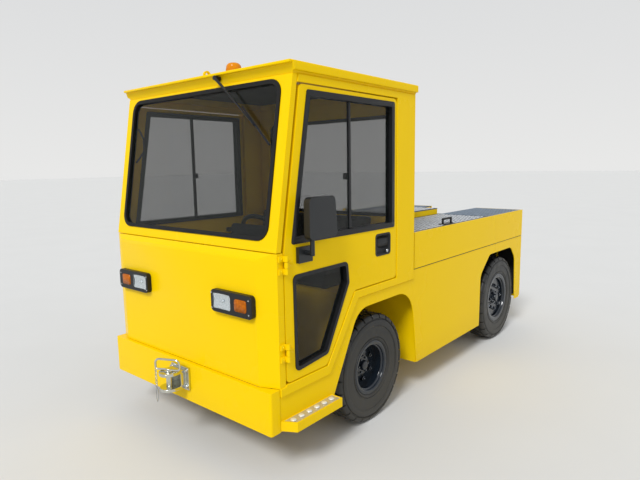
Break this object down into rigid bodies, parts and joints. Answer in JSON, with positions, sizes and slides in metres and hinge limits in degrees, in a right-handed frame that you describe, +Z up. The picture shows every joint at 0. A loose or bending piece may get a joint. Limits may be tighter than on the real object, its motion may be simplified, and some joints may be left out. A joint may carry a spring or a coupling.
{
  "type": "electric tow tractor",
  "caption": "Electric tow tractor with a closed cab, raked windscreen, hinged doors, steered front wheels, battery body under a tread-plate deck and drop-pin hitches at both ends.",
  "frame": {"origin": "on the ground under the middle of the vehicle's length and width", "axes": "+Z up, +X to the vehicle's left side, -Y towards the front"},
  "size_m": [1.586, 3.6846, 2.185],
  "materials": {
    "yellow_paint": "glossy industrial enamel",
    "black_paint": "satin black",
    "black_plastic": "fine grain",
    "window_rubber": "matt",
    "tyre_rubber": "matt",
    "galvanised_steel": "dull zinc",
    "tread_plate": "rolled five-bar pattern",
    "window_glass": "clear, slightly tinted",
    "clear_lens": "fluted",
    "amber_lens": "translucent",
    "red_lens": "translucent",
    "seat_vinyl": "matt vinyl",
    "battery_case": "semi-matt"
  },
  "bodies": {
    "chassis": {"side_plates": "yellow_paint", "box_walls": "yellow_paint", "rear_plate": "yellow_paint", "sight_trough": "yellow_paint", "front_bumper": "yellow_paint", "front_panel": "yellow_paint", "windscreen_frame": "yellow_paint", "cab_sides": "yellow_paint", "cab_rear_wall": "yellow_paint", "roof": "yellow_paint", "cab_floor": "yellow_paint", "steps": "yellow_paint", "deck_hood": "yellow_paint", "chassis_frame": "black_paint", "rear_wheelhouses": "black_paint", "front_axle": "black_paint", "leaf_springs": "black_paint", "drive_axle": "black_paint", "lamp_housings": "black_plastic", "wiper": "black_plastic", "dashboard": "black_plastic", "cab_gaskets": "window_rubber", "hitch_jaws": "galvanised_steel", "hitch_pins": "galvanised_steel", "deck_plate": "tread_plate", "step_treads": "tread_plate", "cab_glass": "window_glass", "clear_lenses": "clear_lens", "amber_lenses": "amber_lens", "red_lenses": "red_lens", "seats": "seat_vinyl", "battery": "battery_case"},
    "door_left": {"door_left": "yellow_paint", "door_left_trim": "black_plastic", "door_left_glass": "window_glass", "mirror": "black_plastic"},
    "door_right": {"door_right": "yellow_paint", "door_right_trim": "black_plastic", "door_right_glass": "window_glass"},
    "battery_lid": {"battery_lid": "tread_plate", "lid_tunnel": "yellow_paint", "lid_handle": "black_plastic"},
    "knuckle_left": {"knuckle_left": "black_paint"},
    "knuckle_right": {"knuckle_right": "black_paint"},
    "tie_rod": {"tie_rod": "galvanised_steel"},
    "steering_wheel": {"steering_wheel": "black_plastic"},
    "wheel_front_left": {"tyre_front_left": "tyre_rubber", "rim_front_left": "black_paint"},
    "wheel_front_right": {"tyre_front_right": "tyre_rubber", "rim_front_right": "black_paint"},
    "wheel_rear_left": {"tyre_rear_left": "tyre_rubber", "rim_rear_left": "black_paint"},
    "wheel_rear_right": {"tyre_rear_right": "tyre_rubber", "rim_rear_right": "black_paint"}
  },
  "joints": [
    {"name": "steer_left", "type": "hinge", "parent": "chassis", "child": "knuckle_left", "pos_m": [0.47, -0.8025, 0.338], "axis": [0, 0, 1], "range_deg": [-28, 28]},
    {"name": "steer_right", "type": "hinge", "parent": "chassis", "child": "knuckle_right", "pos_m": [-0.47, -0.8025, 0.338], "axis": [0, 0, 1], "range_deg": [-28.5, 28.5]},
    {"name": "tie_rod_pivot", "type": "hinge", "parent": "knuckle_left", "child": "tie_rod", "pos_m": [0.47, -0.6525, 0.305], "axis": [0, 0, 1], "range_deg": [-28.5, 28.5]},
    {"name": "steering_wheel_turn", "type": "hinge", "parent": "chassis", "child": "steering_wheel", "pos_m": [0.28, -1.2525, 1.16], "axis": [0, 0.788, 0.6157], "range_deg": [-340, 340]},
    {"name": "spin_front_left", "type": "hinge", "parent": "knuckle_left", "child": "wheel_front_left", "pos_m": [0.602, -0.8025, 0.338], "axis": [1, 0, 0], "continuous": true},
    {"name": "spin_front_right", "type": "hinge", "parent": "knuckle_right", "child": "wheel_front_right", "pos_m": [-0.602, -0.8025, 0.338], "axis": [1, 0, 0], "continuous": true},
    {"name": "spin_rear_left", "type": "hinge", "parent": "chassis", "child": "wheel_rear_left", "pos_m": [0.602, 1.1975, 0.37], "axis": [1, 0, 0], "continuous": true},
    {"name": "spin_rear_right", "type": "hinge", "parent": "chassis", "child": "wheel_rear_right", "pos_m": [-0.602, 1.1975, 0.37], "axis": [1, 0, 0], "continuous": true},
    {"name": "door_left_swing", "type": "hinge", "parent": "chassis", "child": "door_left", "pos_m": [0.735, -1.5895, 0.9], "axis": [0, 0, -1], "range_deg": [0, 75]},
    {"name": "door_right_swing", "type": "hinge", "parent": "chassis", "child": "door_right", "pos_m": [-0.735, -1.5895, 0.9], "axis": [0, 0, 1], "range_deg": [0, 75]},
    {"name": "battery_lid_lift", "type": "hinge", "parent": "chassis", "child": "battery_lid", "pos_m": [-0.698, 0.289, 1.145], "axis": [0, -1, 0], "range_deg": [0, 80]}
  ],
  "couplings": [
    {"joint": "steer_right", "follows": "steer_left", "ratio": 1},
    {"joint": "tie_rod_pivot", "follows": "steer_left", "ratio": -1},
    {"joint": "steering_wheel_turn", "follows": "steer_left", "ratio": 12}
  ]
}
